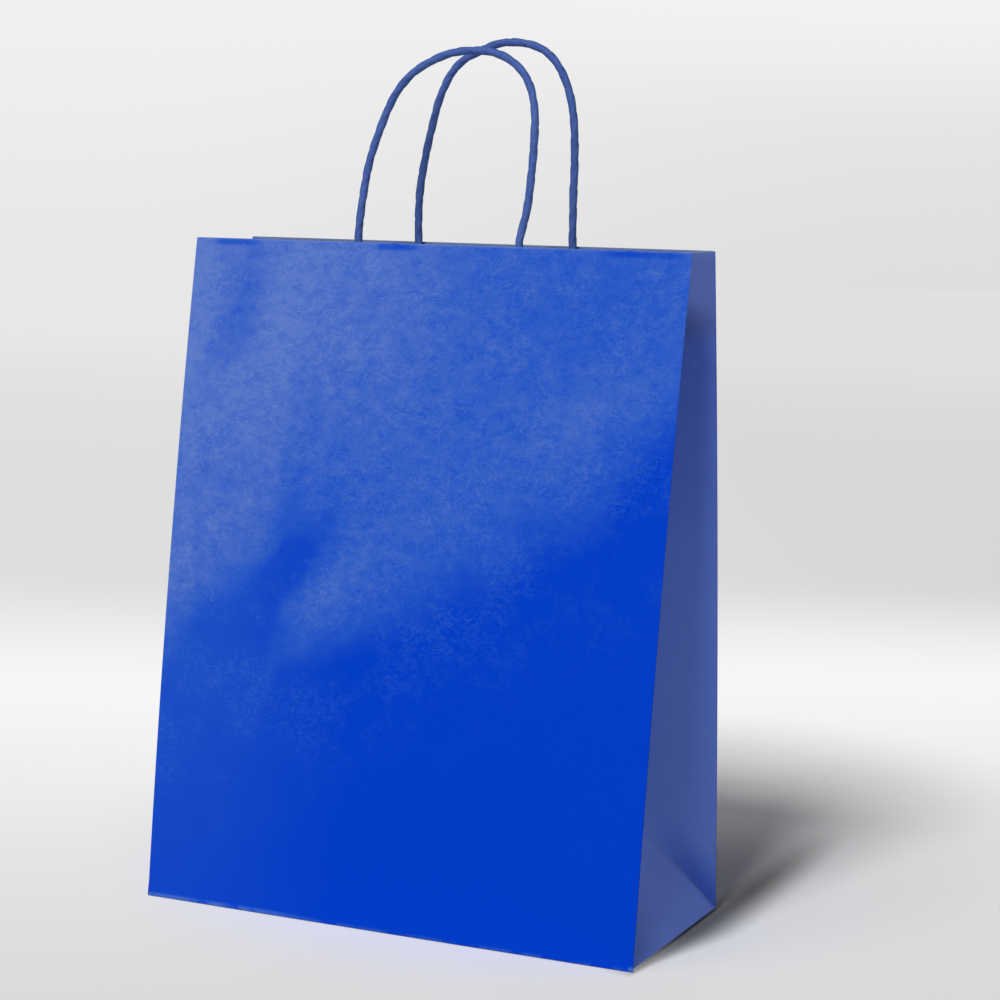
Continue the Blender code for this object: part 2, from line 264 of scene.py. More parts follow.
def add_paper(bm, rows, prints=0, closed=False):
    """Faces between rows of points. prints is one print, or tells it from the column and row."""
    grid = [[bm.verts.new(point) for point in row] for row in rows]
    for row, (low, high) in enumerate(zip(grid, grid[1:])):
        count = len(low) if closed else len(low) - 1
        for column in range(count):
            following = (column + 1) % len(low)
            face = bm.faces.new((low[column], low[following], high[following], high[column]))
            face.material_index = prints(column, row) if callable(prints) else prints


def wall_print(column, row):
    """The print of a wall's face. The front's own print goes on over half of the top fold."""
    in_front = column < PANEL_SPAN
    first_hem_row = KNEE_ROWS + WALL_ROWS + (TOP_ROWS // 2 if in_front else 0)
    if row >= first_hem_row:
        return HEM_PRINT
    if column % HALF_RING >= PANEL_SPAN:
        return GUSSET_PRINT
    return FRONT_PRINT if in_front else BACK_PRINT


def add_walls(bm):
    turn = HEM_STEP / 2
    brim = HEIGHT - turn
    runs = [KNEE * row / KNEE_ROWS for row in range(KNEE_ROWS)]
    runs += [KNEE + (brim - KNEE) * row / WALL_ROWS for row in range(WALL_ROWS + 1)]
    rows = [wall_ring(run) for run in runs]
    outer, inner = rows[-1], wall_ring(brim, HEM_STEP)
    for step in range(1, TOP_ROWS):
        angle = math.pi * step / TOP_ROWS
        rise = Vector((0, 0, turn)) * math.sin(angle)
        rows.append([(a + b) / 2 + (a - b) / 2 * math.cos(angle) + rise for a, b in zip(outer, inner)])
    for row in range(HEM_ROWS + 1):
        rows.append(wall_ring(brim - (HEM_DEPTH - turn) * row / HEM_ROWS, HEM_STEP))
    add_paper(bm, rows, wall_print, closed=True)


def flap_reach(across):
    """How deep the front's or back's flap is there, its ends cut back at 45 degrees."""
    return max(CORNER_CLEARANCE, min(FLAP_LENGTH, WIDTH / 2 - abs(across)))


def add_long_flap(bm, side, print_index):
    """The flap of the front or back, from its free edge out to the bottom fold and up round it."""
    first_end = LEFT if side == FRONT else RIGHT
    shares = [column / PANEL_COLUMNS for column in range(PANEL_COLUMNS + 1)]
    columns = [WIDTH * (share - 0.5) for share in shares][::-first_end]
    level = FLAP_LEVEL[side]
    edge = side * DEPTH / 2
    rows = []
    for row in range(FLAP_ROWS + 1):
        share = 1 - row / FLAP_ROWS
        rows.append([
            Vector((x, edge - side * (BOTTOM_FOLD + (flap_reach(x) - BOTTOM_FOLD) * share), level))
            for x in columns
        ])
    for step in range(1, BOTTOM_FOLD_ROWS):
        angle = math.pi / 2 * step / BOTTOM_FOLD_ROWS
        y = edge - side * BOTTOM_FOLD * (1 - math.sin(angle))
        z = level + BOTTOM_FOLD * (1 - math.cos(angle))
        rows.append([Vector((x, y, z)) for x in columns])
    rows.append([Vector((x, edge, level + BOTTOM_FOLD)) for x in columns])
    first, last = hip(side, first_end), hip(side, -first_end)
    rows.append([first.lerp(last, share) for share in shares])
    add_paper(bm, rows, print_index)


def add_end_flap(bm, end):
    """The flap below a gusset, and the two folded corners that join it to the long flaps."""
    count = round(FLAP_LENGTH / WIDTH * PANEL_COLUMNS)
    steps = [WIDTH * column / PANEL_COLUMNS for column in range(count + 1)]
    shares = [column / CREASE_COLUMNS for column in range(CREASE_COLUMNS + 1)]
    hinge = [hip(FRONT, end).lerp(hip(BACK, end), share) for share in shares]
    narrowing = 1 - CORNER_CLEARANCE * 2 / DEPTH
    rows = [hinge]
    for step in steps[1:]:
        rows.append([
            Vector((point.x - end * step, point.y * narrowing, END_FLAP_LEVEL)) for point in hinge
        ])
    add_paper(bm, rows if end == LEFT else [row[::-1] for row in rows], GUSSET_PRINT)
    for side in (FRONT, BACK):
        hinge_y = side * (DEPTH / 2 - CORNER_CLEARANCE)
        layers = [[], [], [], []]
        for step in steps:
            x = end * (WIDTH / 2 - step)
            free_y = side * (DEPTH / 2 - flap_reach(x))
            layers[0].append(Vector((x, free_y, FLAP_LEVEL[side])))
            layers[1].append(Vector((x, free_y, FOLD_LEVEL[side])))
            layers[2].append(Vector((x, hinge_y, FOLD_LEVEL[side])))
            layers[3].append(Vector((x, hinge_y, END_FLAP_LEVEL)))
        if side == end:
            layers = [layer[::-1] for layer in layers]
        add_paper(bm, layers, GUSSET_PRINT)


def add_seam(bm):
    """The glued lap of the sheet's other edge, inside the back beside its left fold."""
    near = -WIDTH / 2 + SEAM_INSET
    length = HEIGHT - HEM_DEPTH - SEAM_FOOT - SEAM_HEM_GAP
    rows = []
    for row in range(WALL_ROWS + 1):
        run = SEAM_FOOT + length * row / WALL_ROWS
        rows.append([
            panel_point(BACK, near + SEAM_WIDTH * (1 - column / SEAM_COLUMNS), run, PAPER - SEAM_BOND)
            for column in range(SEAM_COLUMNS + 1)
        ])
    add_paper(bm, rows, BACK_PRINT)


def paper_piece(name, bm, finishes, thickness, inside=0, rim=0):
    """A piece of paper from its middle surface, given its thickness and its finishes."""
    bmesh.ops.remove_doubles(bm, verts=bm.verts, dist=WELD)
    bmesh.ops.dissolve_degenerate(bm, edges=bm.edges, dist=SLIVER)
    mesh = bpy.data.meshes.new(name)
    bm.to_mesh(mesh)
    bm.free()
    mesh.shade_smooth()
    mesh.set_sharp_from_angle(angle=SHARP_FOLD)
    for finish in finishes:
        mesh.materials.append(finish)
    piece = bpy.data.objects.new(name, mesh)
    bpy.context.scene.collection.objects.link(piece)
    solid = piece.modifiers.new("thickness", "SOLIDIFY")
    solid.thickness = thickness
    solid.offset = 0.0
    solid.material_offset = inside
    solid.material_offset_rim = rim
    return piece


# The print. The paper's outside is flooded with deep blue ink. A pale cloud of painted sheen,
# mottled by the paper's fibres, lies over the upper part of the front. The brim carries a painted
# highlight, and the bottom fold is rubbed paler.

DEEP_BLUE = (0.0, 0.046, 0.540)
MIDDLE_BLUE = (0.0213, 0.097, 0.545)
SHEEN_BLUE = (0.110, 0.200, 0.562)
GUSSET_SHEEN_BLUE = (0.140, 0.240, 0.745)
GUSSET_TOP_SHADE_BLUE = (0.096, 0.144, 0.415)
CORNER_LIGHT_BLUE = (0.190, 0.300, 0.920)
HEM_BLUE = (0.165, 0.215, 0.390)
PRINT_ROUGHNESS = 0.6
GRAIN_SCALE, GRAIN_DEPTH = 900, 0.00006
FIBRE_LIE = (1.0, 1.0, 1.35)
CLUMP_SCALE, CLUMP_CONTRAST = 128, 2.9
SPECK_SCALE, SPECK_CONTRAST = 640, 0.8
CURL_SCALES_AND_SHARPNESS = ((95, 13), (165, 9))


class Tone:
    """A number, colour or direction that varies over a surface. Sums on it add the shader's nodes."""

    def __init__(self, finish, socket):
        self.finish, self.socket = finish, socket

    def work(self, operation, left, right):
        node, kind = self.finish.node, self.socket.type
        if kind == "VALUE":
            return node("ShaderNodeMath", {"operation": operation}, {0: left, 1: right})
        spread = 3 if kind == "VECTOR" else 4
        left, right = [(v,) * spread if isinstance(v, (int, float)) else v for v in (left, right)]
        if kind == "VECTOR":
            return node("ShaderNodeVectorMath", {"operation": operation}, {0: left, 1: right})
        settings = {"data_type": "RGBA", "blend_type": operation}
        return node("ShaderNodeMix", settings, {0: 1.0, 6: left, 7: right}, 2)

    def __add__(self, other):
        return self.work("ADD", self, other)

    def __radd__(self, other):
        return self.work("ADD", other, self)

    def __sub__(self, other):
        return self.work("SUBTRACT", self, other)

    def __rsub__(self, other):
        return self.work("SUBTRACT", other, self)

    def __mul__(self, other):
        return self.work("MULTIPLY", self, other)

    def __rmul__(self, other):
        return self.work("MULTIPLY", other, self)

    def __truediv__(self, other):
        return self.work("DIVIDE", self, other)

    def __pow__(self, other):
        return self.work("POWER", self, other)

    def part(self, name):
        """Another output of the same node, such as one axis of a split direction."""
        return Tone(self.finish, self.socket.node.outputs[name])

    def ramp(self, low, high, start=0.0, stop=1.0):
        """Goes smoothly from start to stop as the number goes from low to high, and holds beyond."""
        settings = {"interpolation_type": "SMOOTHSTEP"}
        sockets = {0: self, 1: low, 2: high, 3: start, 4: stop}
        return self.finish.node("ShaderNodeMapRange", settings, sockets)

    def ramp_line(self, low, high):
        """Goes straight from 0 to 1 as the number goes from low to high, and holds beyond."""
        sockets = {0: self, 1: low, 2: high, 3: 0.0, 4: 1.0}
        return self.finish.node("ShaderNodeMapRange", None, sockets)

    def size(self):
        """The number without its sign."""
        return self.work("ABSOLUTE", self, 0.0)

    def most(self, other):
        """The larger of the two numbers."""
        return self.work("MAXIMUM", self, other)


class Finish:
    """One material, with its principled shader and any other nodes that it needs."""

    def __init__(self, name, roughness, specular=0.2):
        self.material = bpy.data.materials.new(name)
        self.material.use_nodes = True
        self.nodes, self.links = self.material.node_tree.nodes, self.material.node_tree.links
        self.shader = self.nodes["Principled BSDF"]
        self.shader.inputs["Roughness"].default_value = roughness
        self.shader.inputs["Specular IOR Level"].default_value = specular

    def node(self, kind, settings=None, sockets=None, output=0):
        made = self.nodes.new(kind)
        for name, value in (settings or {}).items():
            setattr(made, name, value)
        for name, value in (sockets or {}).items():
            if isinstance(value, Tone):
                self.links.new(value.socket, made.inputs[name])
            else:
                made.inputs[name].default_value = value
        return Tone(self, made.outputs[output])

    def place(self):
        """The point on the object, in metres."""
        return self.node("ShaderNodeTexCoord", output="Object")

    def split(self, vector):
        return self.node("ShaderNodeSeparateXYZ", None, {0: vector})

    def cloud(self, where, scale, detail, rough, twist=0.0, output="Fac"):
        """Soft noise that repeats about scale times a metre. Its Color output varies three ways."""
        sockets = {"Vector": where, "Scale": scale, "Detail": detail, "Roughness": rough}
        return self.node("ShaderNodeTexNoise", None, {**sockets, "Distortion": twist}, output)

    def blend(self, share, low, high):
        low, high = [(*c, 1.0) if isinstance(c, tuple) else c for c in (low, high)]
        return self.node("ShaderNodeMix", {"data_type": "RGBA"}, {0: share, 6: low, 7: high}, 2)

    def paint(self, name, value):
        self.links.new(value.socket, self.shader.inputs[name])

    def grain(self, height, distance):
        """Fine relief, as deep as the distance in metres."""
        relief = self.node("ShaderNodeBump", None, {"Height": height, "Distance": distance})
        self.paint("Normal", relief)


def paper_grain(finish, where):
    finish.grain(finish.cloud(where, GRAIN_SCALE, 4, 0.6), GRAIN_DEPTH)


def fibre_mottle(finish, where):
    """Clumps of pale fibre 1 to 4 mm across, and curled single fibres between them."""
    lying = finish.node("ShaderNodeMapping", None, {"Vector": where, "Scale": FIBRE_LIE})
    clumps = (finish.cloud(lying, CLUMP_SCALE, 6, 0.68, 0.3) - 0.5) * CLUMP_CONTRAST
    specks = (finish.cloud(lying, SPECK_SCALE, 3, 0.6, 0.4) - 0.5) * SPECK_CONTRAST
    curls = []
    for scale, sharpness in CURL_SCALES_AND_SHARPNESS:
        bent = finish.cloud(lying, scale, 1.5, 0.45, 1.9) * 2 - 1
        curls.append((1 - bent.size() * sharpness).ramp(0.0, 1.0))
    return clumps + specks, curls[0] + curls[1]


def oval(x, z, centre, reach, turn=0.0):
    """A soft oval, 1 in its middle and 0 beyond its edge. Sizes in mm, turn in degrees."""
    c, s = math.cos(math.radians(turn)), math.sin(math.radians(turn))
    along = ((x - centre[0]) * c + (z - centre[1]) * s) / reach[0]
    over = ((z - centre[1]) * c - (x - centre[0]) * s) / reach[1]
    return ((along * along + over * over) ** 0.5).ramp(1.0, 0.0)


# On the front, x runs from -120 to 120 mm and z from the bottom, 0, to the brim. A patch of the
# painted sheen has its centre, its reach along and over, its turn in degrees, and how much paler than
# the rest it is.
SHEEN_PATCHES = [
    ((-70, 275), (20, 60), 0, 0.12),
    ((88, 234), (50, 14), 27, 0.17),
    ((-36, 152), (38, 14), 42, 0.10),
    ((-96, 274), (19, 52), -16, -0.54),
    ((80, 278), (52, 40), 0, -0.12),
    ((-60, 150), (18, 26), -20, -0.12),
    ((-105, 134), (24, 20), 0, -0.14),
]
# Ovals just below the brim where the painted sheen is weaker, each with its centre and reach in mm.
SHEENLESS_BRIM = [((-99, 302), (20, 9)), ((-18, 302), (19, 9)), ((98, 302), (30, 9))]
SHEEN_WANDER, WANDER_SCALE = 26, 28
BRIM_SLOPE = 0.0042
SHEEN_STRENGTH, BRIM_SHEEN_LOSS = 0.90, 0.72
CLUMPS_IN_SHEEN, CURLS_IN_SHEEN = 0.80, 0.30
CLUMPS_BELOW, CURLS_BELOW = 0.16, 0.10
PALE_LIMIT, PALE_POWER, MIDDLE_SHARE = 1.3, 0.74, 0.3


def sheen_shape(x, z):
    """The painted sheen on the front, a pale cloud. It ends along a slope, which a deep blue cleft cuts
    into.
    """
    lower_edge = (z - 131 - (x + 30) * 0.636 - x.ramp(78, 126) * 19).ramp(-34, 28)
    right_of_cleft = (x + 59 - (z - 122) * 0.42).ramp(-12, 12).most(z.ramp(158, 204))
    left_of_cleft = (z - 129 - (x + 116)).ramp(-28, 28) * x.ramp(-56, -67)
    middle = (0.36 + x.ramp(35, -45) * z.ramp(190, 285) * 0.48) * (z - x * 0.25).ramp(120, 146)
    left = x.ramp(-59, -68) * z.ramp(300, 225) * 0.25
    rim = x.ramp(-106, -119) * z.ramp(130, 250) * 0.20
    sheen = lower_edge * right_of_cleft.most(left_of_cleft) * (middle + left + rim)
    for centre, reach, turn, paler in SHEEN_PATCHES:
        sheen = sheen + oval(x, z, centre, reach, turn) * paler
    return sheen.most(0.0)


def highlit_and_rubbed_edges(finish, where, x, z):
    """A painted highlight along the brim; ink worn off along the bottom fold, more so at its left, and
    at its right end.
    """
    patchy = finish.cloud(where, 120, 3, 0.6)
    # Painted highlight along the top fold, patchy.
    highlight_and_wear = (z + x * BRIM_SLOPE).ramp(303.05, 303.5) * 0.55 * patchy.ramp(0.25, 0.5)
    highlight_and_wear = highlight_and_wear + z.ramp(2.6, 1.4) * x.ramp(-30, -70) * patchy.ramp(0.35, 0.6) * 0.45
    highlight_and_wear = highlight_and_wear + z.ramp(1.8, 0.6) * 0.22 * patchy.ramp(0.4, 0.6)
    return highlight_and_wear + oval(x, z, (119.4, 1.2), (2.6, 2.0)).ramp(0.1, 0.6) * 0.55


def front_print():
    finish = Finish("front_print", PRINT_ROUGHNESS, specular=0.015)
    where = finish.place()
    clumps, curls = fibre_mottle(finish, where)
    drift = (finish.cloud(where, WANDER_SCALE, 5, 0.55, output="Color") - 0.5) * SHEEN_WANDER
    wandering = finish.split(where * 1000 + drift)
    x, z = wandering.part("X"), wandering.part("Z")
    sheen = sheen_shape(x, z)
    slope = (z - 122 - (x + 40) * 0.55).ramp(-85, 12)
    below = slope * finish.cloud(where, 38, 3, 0.6).ramp(0.38, 0.62)
    # Painted sheen, paler towards the left and higher up.
    even = x.ramp(-20, -125) * (z.ramp(0, 140) * 0.09 + 0.040)

    straight = finish.split(where * 1000)
    x, z = straight.part("X"), straight.part("Z")
    brim = z + x * BRIM_SLOPE
    ovals = [oval(x, brim, centre, reach) for centre, reach in SHEENLESS_BRIM]
    # The painted sheen is taken back in these ovals just below the brim.
    sheenless_brim = brim.ramp(300.0, 301.6) * ovals[0].most(ovals[1]).most(ovals[2]).ramp(0.2, 0.7)
    sheen = sheen * (SHEEN_STRENGTH - sheenless_brim * BRIM_SHEEN_LOSS)

    amount = even + highlit_and_rubbed_edges(finish, where, x, z)
    # The painted sheen, mottled by the paper's fibres in it.
    amount = amount + sheen * (1 + clumps * CLUMPS_IN_SHEEN) + curls * sheen * CURLS_IN_SHEEN
    amount = amount + below * (curls * CURLS_BELOW + clumps.most(0.0) * CLUMPS_BELOW)
    share = amount.ramp_line(0.0, PALE_LIMIT) ** PALE_POWER
    deep_to_middle = finish.blend(share.ramp_line(0.0, MIDDLE_SHARE), DEEP_BLUE, MIDDLE_BLUE)
    finish.paint("Base Color", finish.blend(share.ramp_line(MIDDLE_SHARE, 1.0), deep_to_middle, SHEEN_BLUE))
    paper_grain(finish, where)
    return finish.material


def plain_print(name, amount, pale, sheen_clouds=0.0):
    """An even print, amount of the way from deep blue to pale, with clouds of painted sheen on it,
    mottled by the fibres.
    """
    finish = Finish(name, PRINT_ROUGHNESS, specular=0.05)
    where = finish.place()
    clumps, curls = fibre_mottle(finish, where)
    # Clouds of painted sheen, as on the front.
    clouded = finish.cloud(where, 6, 3, 0.5).ramp(0.40, 0.66) * sheen_clouds
    uneven = finish.cloud(where, 24, 4, 0.5) * 0.1
    share = (clumps * 0.5 + curls * 0.25 + 0.6) * clouded + uneven + (amount - 0.05)
    finish.paint("Base Color", finish.blend(share, DEEP_BLUE, pale))
    paper_grain(finish, where)
    return finish.material


GUSSET_SHEEN_AMOUNT, WEDGE_SHADE, UPPER_SHADE = 0.87, 0.54, 0.13
TOP_SHADE_BLEND = 0.014


def gusset_print():
    """Paler than the front by painted sheen; painted shade above the corner folds, higher up and at the
    top; painted light below the corner folds.
    """
    finish = Finish("gusset_print", PRINT_ROUGHNESS, specular=0.05)
    where = finish.place()
    split = finish.split(where)
    height, toward_back = split.part("Z"), split.part("Y")
    above_fold = height + toward_back.size() - KNEE
    wedge = above_fold.ramp(-0.001, 0.001) - above_fold.ramp(0.002, 0.024)
    shade = wedge * toward_back.ramp(0.010, 0.045) * WEDGE_SHADE
    shade = shade + height.ramp(0.17, 0.22) * UPPER_SHADE
    clumps, curls = fibre_mottle(finish, where)
    uneven = finish.cloud(where, 24, 4, 0.5) * 0.14
    # Painted sheen makes the gusset paler than the front; painted shade takes some of it back.
    share = uneven + clumps * 0.05 + curls * 0.02 + GUSSET_SHEEN_AMOUNT - shade
    colour = finish.blend(share, DEEP_BLUE, GUSSET_SHEEN_BLUE)
    # Painted shade, greyer and darker, over the top of the gusset.
    hem = height.ramp(HEIGHT - HEM_DEPTH, HEIGHT - HEM_DEPTH + TOP_SHADE_BLEND)
    colour = finish.blend(hem, colour, GUSSET_TOP_SHADE_BLUE)
    # Painted light below the corner folds.
    corner = above_fold.ramp(0.001, -0.006) * toward_back.ramp(-0.050, -0.010)
    finish.paint("Base Color", finish.blend(corner, colour, CORNER_LIGHT_BLUE))
    paper_grain(finish, where)
    return finish.material


BARE_ROUGHNESS, BARE_GRAIN_SCALE, BARE_GRAIN_DEPTH = 0.75, 700, 0.00009


def bare_paper(name, colour, tint):
    """Unprinted paper, clouded between the two colours."""
    finish = Finish(name, BARE_ROUGHNESS)
    where = finish.place()
    share = finish.cloud(where, 60, 5, 0.6) * 0.6 + finish.cloud(where, 700, 3, 0.6) * 0.4
    finish.paint("Base Color", finish.blend(share.ramp(0.3, 0.7), colour, tint))
    finish.grain(finish.cloud(where, BARE_GRAIN_SCALE, 5, 0.65), BARE_GRAIN_DEPTH)
    return finish.material


inside_paper = bare_paper("unprinted_inside", (0.62, 0.65, 0.70), (0.70, 0.72, 0.75))
cut_edge = bare_paper("cut_paper_edge", (0.42, 0.50, 0.68), (0.52, 0.58, 0.72))
outside = [
    front_print(),
    plain_print("back_print", 0.25, SHEEN_BLUE, sheen_clouds=0.45),
    gusset_print(),
    plain_print("hem_print", 1.0, HEM_BLUE),
]
finishes = outside + [inside_paper] * len(outside) + [cut_edge] * len(outside)

bm = bmesh.new()
add_walls(bm)
add_long_flap(bm, FRONT, FRONT_PRINT)
add_long_flap(bm, BACK, BACK_PRINT)
add_end_flap(bm, LEFT)
add_end_flap(bm, RIGHT)
add_seam(bm)
bag = paper_piece("folded_bag", bm, finishes, PAPER, inside=len(outside), rim=len(outside) * 2)
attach(bag, "root")
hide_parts("bag_body")


# The handle strips. The ends of each cord are glued between two strips of pale paper, the backing
# strip flat on the turned-over hem and the cover strip pressed over the cord's two legs.

STRIP_WIDTH, STRIP_HEIGHT, STRIP_DROP, STRIP_PAPER = 0.152, 0.038, 0.0025, 0.0003
CLEARANCE = 0.0003
CORD = 0.0040
HANDLE_PITCH = 0.078
HANDLE_OFFSET = {FRONT: 0.0014, BACK: 0.0140}
RIB_REACH = 0.0052
BACKING_INWARD = HEM_STEP + PAPER / 2 + CLEARANCE + STRIP_PAPER / 2
COVER_INWARD = BACKING_INWARD + STRIP_PAPER + CLEARANCE
CORD_INWARD = BACKING_INWARD + STRIP_PAPER / 2 + CLEARANCE + CORD / 2
RIB_HEIGHT = CORD_INWARD + CORD / 2 + CLEARANCE + STRIP_PAPER / 2 - COVER_INWARD
STRIP_COLUMNS, STRIP_ROWS = 190, 22
STRIP_SHADE, STRIP_LIGHT = (0.60, 0.61, 0.63), (0.68, 0.69, 0.70)


def rib(across, offset):
    """How far the cover strip stands off the backing strip over a leg of the cord."""
    height = 0.0
    for leg in (LEFT, RIGHT):
        away = abs(across - offset - leg * HANDLE_PITCH / 2)
        if away < RIB_REACH:
            height = RIB_HEIGHT * (0.5 + 0.5 * math.cos(math.pi * away / RIB_REACH))
    return height


def paper_strip(name, side, inward, ribbed, finish):
    offset = HANDLE_OFFSET[side]
    columns = [
        offset + STRIP_WIDTH * (column / STRIP_COLUMNS - 0.5) for column in range(STRIP_COLUMNS + 1)
    ]
    if side == BACK:
        columns.reverse()
    lifts = [rib(across, offset) if ribbed else 0.0 for across in columns]
    rows = []
    for row in range(STRIP_ROWS + 1):
        run = HEIGHT - STRIP_DROP - STRIP_HEIGHT * (1 - row / STRIP_ROWS)
        rows.append([
            panel_point(side, across, run, inward + lift) for across, lift in zip(columns, lifts)
        ])
    bm = bmesh.new()
    add_paper(bm, rows)
    strip = paper_piece(name, bm, [finish], STRIP_PAPER)
    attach(strip, "root")
    return strip


for word, side in (("front", FRONT), ("back", BACK)):
    pale_paper = bare_paper(word + "_strip_paper", STRIP_SHADE, STRIP_LIGHT)
    backing = paper_strip(word + "_backing_paper", side, BACKING_INWARD, False, pale_paper)
    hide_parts(word + "_backing_strip")
    cover = paper_strip(word + "_cover_paper", side, COVER_INWARD, True, pale_paper)
    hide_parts(word + "_cover_strip")


# The handles. Each is a strip of blue kraft paper, twisted tightly into a 4 mm cord and bent into
# an arch while damp, so that it stands by itself. Its ends run down between the strips.

HANDLE_LEAN = math.radians(5.0)
CORD_END_INSET, LEG_TOP_INSET, LEG_STEPS = 0.003, 0.004, 6
CORD_RADIUS, CORD_SWELL, SWELL_REPEAT = 0.00182, 0.06, 70
TWIST_PITCH = 0.0210
GROOVE, GROOVE_SHARPNESS = 0.00034, 12
SECOND_GROOVE, SECOND_GROOVE_TURN = 0.6, 2.5
FLATTENING, FLAT_TURN = 0.00008, 0.6
CORD_SIDES, CORD_STEP, CURVE_STEPS, SHARP_END = 28, 0.0010, 12, math.radians(60)
CORD_SHADE, CORD_LIGHT = (0.046, 0.096, 0.340), (0.072, 0.135, 0.410)
CORD_ROUGHNESS, CORD_GRAIN_SCALE, CORD_GRAIN_DEPTH = 0.62, 1100, 0.00008

# The middle of each loop, from its left leg to its right one: mm across, and mm above the brim.
FRONT_ARCH = [
    (-39.0, 2.2), (-38.6, 13.9), (-37.4, 27.1), (-35.3, 39.6), (-31.8, 51.3), (-27.5, 62.9),
    (-23.0, 70.7), (-15.9, 78.1), (-6.1, 83.5), (3.6, 86.5), (15.2, 87.0), (25.2, 84.9),
    (33.8, 79.3), (39.6, 71.0), (42.5, 58.9), (43.0, 46.1), (42.6, 28.7), (41.5, 15.8),
    (39.1, 2.9),
]
BACK_ARCH = [
    (-26.1, 1.1), (-26.0, 14.6), (-24.4, 28.8), (-21.6, 41.4), (-17.8, 55.5), (-14.1, 66.4),
    (-8.7, 76.5), (-1.5, 83.3), (7.3, 87.4), (16.0, 90.2), (24.6, 90.8), (34.0, 89.1),
    (41.7, 84.9), (47.6, 77.0), (51.8, 65.7), (53.5, 51.4), (53.5, 36.2), (52.9, 20.9),
    (52.6, 2.5),
]


def curve_point(a, b, c, d, t):
    """The point t of the way from b to c, on a smooth curve that also passes a and d."""
    bend_early = a - b * 2.5 + c * 2 - d / 2
    bend_late = b * 1.5 - c * 1.5 + (d - a) / 2
    return b + (c - a) * t / 2 + bend_early * t * t + bend_late * t ** 3


def smooth_route(points, step):
    """Even points, a step apart, on a smooth curve through the given points."""
    padded = [points[0] * 2 - points[1], *points, points[-1] * 2 - points[-2]]
    dense = []
    for four in zip(padded, padded[1:], padded[2:], padded[3:]):
        dense += [curve_point(*four, part / CURVE_STEPS) for part in range(CURVE_STEPS)]
    dense.append(points[-1])
    lengths = [0.0]
    for before, after in zip(dense, dense[1:]):
        lengths.append(lengths[-1] + (after - before).length)
    count = round(lengths[-1] / step)
    even, index = [], 0
    for number in range(count + 1):
        goal = lengths[-1] * number / count
        while index < len(dense) - 2 and lengths[index + 1] < goal:
            index += 1
        share = (goal - lengths[index]) / (lengths[index + 1] - lengths[index])
        even.append(dense[index].lerp(dense[index + 1], share))
    return even


def cord_route(side, arch):
    """The middle of a cord, up its left leg, round its loop and down its right leg."""
    bottom = HEIGHT - STRIP_DROP - STRIP_HEIGHT + CORD_END_INSET
    rise = HEIGHT - LEG_TOP_INSET - bottom
    legs = {}
    for leg in (LEFT, RIGHT):
        across = HANDLE_OFFSET[side] + leg * HANDLE_PITCH / 2
        legs[leg] = [
            panel_point(side, across, bottom + rise * step / LEG_STEPS, CORD_INWARD)
            for step in range(LEG_STEPS + 1)
        ]
    upward = Vector((0, -side * math.sin(HANDLE_LEAN), math.cos(HANDLE_LEAN)))
    loop = [
        panel_point(side, across / 1000, HEIGHT, CORD_INWARD) + upward * height / 1000
        for across, height in arch
    ]
    return smooth_route([*legs[LEFT], *loop, *reversed(legs[RIGHT])], CORD_STEP)


def cord_radius(turn, swell):
    """The cord's radius, turn radians round its twist: two grooves, and slightly flattened."""
    groove = max(0.0, math.cos(turn)) ** GROOVE_SHARPNESS
    groove += SECOND_GROOVE * max(0.0, math.cos(turn + SECOND_GROOVE_TURN)) ** GROOVE_SHARPNESS
    return CORD_RADIUS * swell - GROOVE * groove + FLATTENING * math.cos(2 * turn + FLAT_TURN)


def cord_finish(name):
    finish = Finish(name, CORD_ROUGHNESS)
    where = finish.place()
    share = finish.cloud(where, 380, 4, 0.6) * 0.5 + finish.cloud(where, 60, 3, 0.5) * 0.5
    finish.paint("Base Color", finish.blend(share.ramp(0.3, 0.7), CORD_SHADE, CORD_LIGHT))
    finish.grain(finish.cloud(where, CORD_GRAIN_SCALE, 4, 0.6), CORD_GRAIN_DEPTH)
    return finish.material


def twisted_cord(name, side, arch, finish):
    route = cord_route(side, arch)
    bm = bmesh.new()
    rings = []
    normal = Vector((0, side, 0))
    for index, point in enumerate(route):
        ahead = route[min(index + 1, len(route) - 1)] - route[max(index - 1, 0)]
        ahead.normalize()
        normal = (normal - ahead * normal.dot(ahead)).normalized()
        across = ahead.cross(normal)
        travelled = index * CORD_STEP
        swell = 1 + CORD_SWELL * noise.noise(Vector((travelled * SWELL_REPEAT, side * 5, 0)))
        ring = []
        for corner in range(CORD_SIDES):
            angle = 2 * math.pi * corner / CORD_SIDES
            radius = cord_radius(angle - 2 * math.pi * travelled / TWIST_PITCH, swell)
            outward = normal * math.cos(angle) + across * math.sin(angle)
            ring.append(bm.verts.new(point + outward * radius))
        rings.append(ring)
    for low, high in zip(rings, rings[1:]):
        for corner in range(CORD_SIDES):
            following = (corner + 1) % CORD_SIDES
            bm.faces.new((low[corner], low[following], high[following], high[corner]))
    bm.faces.new(rings[0][::-1])
    bm.faces.new(rings[-1])
    mesh = bpy.data.meshes.new(name)
    bm.to_mesh(mesh)
    bm.free()
    mesh.shade_smooth()
    mesh.set_sharp_from_angle(angle=SHARP_END)
    mesh.materials.append(finish)
    cord = bpy.data.objects.new(name, mesh)
    bpy.context.scene.collection.objects.link(cord)
    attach(cord, "root")
    return cord


for word, side, arch in (("front", FRONT, FRONT_ARCH), ("back", BACK, BACK_ARCH)):
    cord = twisted_cord(word + "_twisted_cord", side, arch, cord_finish(word + "_cord_paper"))
    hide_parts(word + "_handle")


# The studio. A pale floor runs back into a pale backdrop, brightest some way behind the bag. One
# soft light stands high in front. Weak ones to the left, low to the right and low behind open the
# shade of the other sides.

